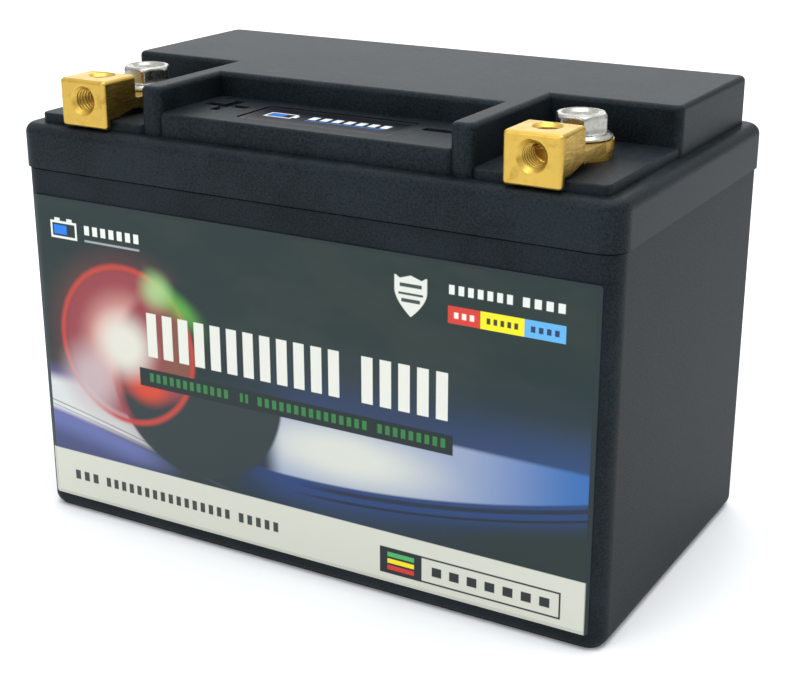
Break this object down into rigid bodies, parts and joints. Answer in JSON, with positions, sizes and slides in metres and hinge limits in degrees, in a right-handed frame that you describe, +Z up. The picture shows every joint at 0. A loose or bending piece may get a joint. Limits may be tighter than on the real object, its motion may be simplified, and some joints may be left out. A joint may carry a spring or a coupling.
{
  "type": "motorcycle battery",
  "caption": "Sealed lithium motorcycle battery with a printed front label, ribbed lid, platform marks for polarity, and brass block terminals clamped by hex flange bolts.",
  "frame": {"origin": "middle of the battery's underside, at the level of the tray it stands on", "axes": "+X along the length towards the negative terminal, +Y from the labelled front to the back, +Z up"},
  "size_m": [0.15, 0.087, 0.1079],
  "materials": {
    "case_plastic": "matte",
    "lid_plastic": "matte",
    "sealant": "matte",
    "label_print": "gloss",
    "nameplate": "gloss",
    "brass": "satin",
    "bolt_steel": "satin",
    "seal_rubber": "matte",
    "tinned_copper": "satin",
    "plated_steel": "satin",
    "foam": "matte",
    "insulating_paper": "matte",
    "holder_plastic": "matte",
    "cell_wrap": "satin",
    "nickel": "satin",
    "board_laminate": "gloss",
    "chip_plastic": "matte",
    "connector_plastic": "matte",
    "red_insulation": "satin",
    "black_insulation": "satin"
  },
  "bodies": {
    "root": {"case_tub": "case_plastic", "lid": "lid_plastic", "lid_seal": "sealant", "front_label": "label_print", "lid_nameplate": "nameplate", "post_left": "brass", "post_right": "brass", "post_seal_left": "seal_rubber", "post_seal_right": "seal_rubber", "lug_left": "tinned_copper", "lug_right": "tinned_copper", "post_nut_left": "plated_steel", "post_nut_right": "plated_steel", "base_pad": "foam", "end_foam_left": "foam", "end_foam_right": "foam", "bottom_sheet": "insulating_paper", "top_sheet": "insulating_paper", "holder_bottom": "holder_plastic", "holder_top": "holder_plastic", "cell_1": "cell_wrap", "cell_2": "cell_wrap", "cell_3": "cell_wrap", "cell_4": "cell_wrap", "cell_5": "cell_wrap", "cell_6": "cell_wrap", "cell_7": "cell_wrap", "cell_8": "cell_wrap", "cell_9": "cell_wrap", "cell_10": "cell_wrap", "cell_11": "cell_wrap", "cell_12": "cell_wrap", "bar_positive": "nickel", "bar_negative": "nickel", "link_top": "nickel", "link_bottom_left": "nickel", "link_bottom_right": "nickel", "protection_board": "board_laminate", "switch_chips": "chip_plastic", "board_screws": "plated_steel", "balance_header": "connector_plastic", "balance_plug": "connector_plastic", "sense_wires": "red_insulation", "lead_positive": "red_insulation", "lead_pack_negative": "black_insulation", "lead_negative": "black_insulation"},
    "adapter_left": {"adapter_left": "brass"},
    "adapter_right": {"adapter_right": "brass"},
    "bolt_left": {"bolt_left": "bolt_steel"},
    "bolt_right": {"bolt_right": "bolt_steel"}
  },
  "joints": [
    {"name": "adapter_left_lift", "type": "slide", "parent": "root", "child": "adapter_left", "axis": [0, 0, 1], "range_m": [0, 0.03]},
    {"name": "adapter_right_lift", "type": "slide", "parent": "root", "child": "adapter_right", "axis": [0, 0, 1], "range_m": [0, 0.03]},
    {"name": "bolt_left_unscrew", "type": "slide", "parent": "adapter_left", "child": "bolt_left", "axis": [0, 0, 1], "range_m": [0, 0.02]},
    {"name": "bolt_right_unscrew", "type": "slide", "parent": "adapter_right", "child": "bolt_right", "axis": [0, 0, 1], "range_m": [0, 0.02]}
  ]
}
